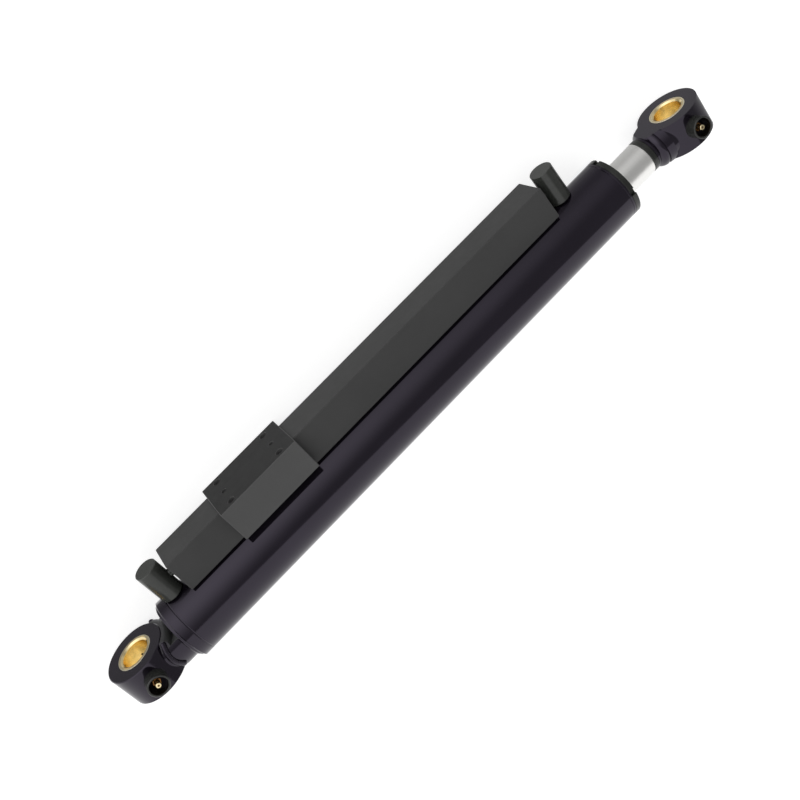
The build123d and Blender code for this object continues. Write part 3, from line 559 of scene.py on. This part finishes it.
def make_stage_material(name, glow):
    """Pale studio paper, lit a little from behind so that shadows stay soft."""
    paper = Material(name, specular=0.1)
    fibre = paper.noise(6.0, 3.0)
    paper.colour(paper.colours(fibre, [(0.3, (FLOOR_PAPER,) * 3), (0.7, (FLOOR_PAPER + 0.01,) * 3)]))
    paper.shader.inputs["Roughness"].default_value = 0.9
    paper.shader.inputs["Emission Color"].default_value = (1, 1, 1, 1)
    paper.shader.inputs["Emission Strength"].default_value = glow
    return paper.data


def make_stage():
    """A round pale floor that curves up into a wall."""
    floor_r = FLOOR_RADII[-1]
    rings = [(radius, 0.0) for radius in FLOOR_RADII]
    rings += [(floor_r + COVE_R * sin(radians(turn)), COVE_R - COVE_R * cos(radians(turn)))
              for turn in range(10, 91, 10)]
    rings += [(floor_r + COVE_R, WALL_HEIGHT)]
    around = 96
    vertices, faces = [(MIDDLE.x, 0, FLOOR_Z)], []
    for radius, height in rings[1:]:
        for step in range(around):
            angle = 2 * pi * step / around
            vertices.append((MIDDLE.x + radius * cos(angle), radius * sin(angle), FLOOR_Z + height))
    for step in range(around):
        faces.append((0, 1 + step, 1 + (step + 1) % around))
    for row in range(len(rings) - 2):
        for step in range(around):
            a = 1 + row * around + step
            b = 1 + row * around + (step + 1) % around
            faces.append((a, a + around, b + around, b))
    floor = new_mesh("floor", vertices, faces, make_stage_material("studio_paper", FLOOR_GLOW))
    floor.visible_glossy = False           # the studio's own light and shade are what the paint reflects


make_stage()


# ---- light ----
BRIGHT_SIDE = Vector((0.678, 0.699, 0.228))     # the lit half of the studio is the half facing away from this
SOFT_LAMP = Vector((-0.52, 0.75, 0.41))         # a broad weak lamp behind the camera
SHADE = 0.29                                    # how bright the unlit half of the studio is
SOFT_LAMP_POWER = 1.15
SOFT_LAMP_RISE = (0.35, 0.95)                   # cosines at which its light starts and is full
LOW_LAMP = Vector((0.85, 0.0, -0.52))           # a weak one low down, beyond the rod's end
LOW_LAMP_POWER = 0.18
LOW_LAMP_RISE = (0.35, 0.75)
DARK_CARD = Vector((-0.30, 0.50, -0.81))        # a round dark card low in front of the base end
DARK_CARD_EDGE = 0.93                           # cosine of the card's half angle


def make_world():
    world = bpy.data.worlds.new("studio")
    world.use_nodes = True
    bpy.context.scene.world = world
    tree = world.node_tree
    place = tree.nodes.new("ShaderNodeTexCoord").outputs["Generated"]

    def facing(direction):
        dot = tree.nodes.new("ShaderNodeVectorMath")
        dot.operation = "DOT_PRODUCT"
        dot.inputs[1].default_value = direction.normalized()
        tree.links.new(place, dot.inputs[0])
        return dot.outputs["Value"]

    def arithmetic(operation, first, second):
        made = tree.nodes.new("ShaderNodeMath")
        made.operation = operation
        for socket, value in zip(made.inputs, (first, second)):
            if isinstance(value, bpy.types.NodeSocket):
                tree.links.new(value, socket)
            else:
                socket.default_value = value
        return made.outputs["Value"]

    def rise(direction, start, full):
        """0 away from a direction, running up to 1 near it."""
        ramp = tree.nodes.new("ShaderNodeMapRange")
        ramp.inputs["From Min"].default_value = start
        ramp.inputs["From Max"].default_value = full
        tree.links.new(facing(direction), ramp.inputs["Value"])
        return ramp.outputs["Result"]

    soft = arithmetic("POWER", rise(SOFT_LAMP, *SOFT_LAMP_RISE), 2.0)
    glow = arithmetic("MULTIPLY", soft, SOFT_LAMP_POWER)
    low_glow = arithmetic("MULTIPLY", rise(LOW_LAMP, *LOW_LAMP_RISE), LOW_LAMP_POWER)
    glow = arithmetic("ADD", glow, low_glow)
    clear = arithmetic("LESS_THAN", facing(DARK_CARD), DARK_CARD_EDGE)
    panel = arithmetic("MULTIPLY", arithmetic("LESS_THAN", facing(BRIGHT_SIDE), 0.0), clear)
    shade = arithmetic("ADD", glow, SHADE)
    strength = arithmetic("MAXIMUM", shade, panel)
    tree.links.new(strength, tree.nodes["Background"].inputs["Strength"])
    tree.nodes["Background"].inputs["Color"].default_value = (1, 1, 1, 1)


make_world()


# ---- camera ----
CAMERA_PLACE = (0.30369, 0.7410, 1.26716)
CAMERA_RIGHT = Vector((0.69536595, -0.57967797, 0.42478187))
CAMERA_UP = Vector((0.71031143, 0.64419107, -0.2836821))
CAMERA_AHEAD = Vector((0.10919642, -0.4989903, -0.85970043))
SENSOR_WIDTH = 36.0
FOCAL_LENGTH = 50.586


def make_camera():
    lens = bpy.data.cameras.new("camera")
    lens.sensor_width = SENSOR_WIDTH
    lens.lens = FOCAL_LENGTH
    lens.clip_start = 0.02
    lens.clip_end = 50.0
    camera = bpy.data.objects.new("camera", lens)
    turned = Matrix((CAMERA_RIGHT, CAMERA_UP, -CAMERA_AHEAD)).transposed().to_4x4()
    camera.matrix_world = Matrix.Translation(CAMERA_PLACE) @ turned
    bpy.context.scene.collection.objects.link(camera)
    bpy.context.scene.camera = camera


make_camera()
bpy.context.scene.view_settings.view_transform = "Standard"
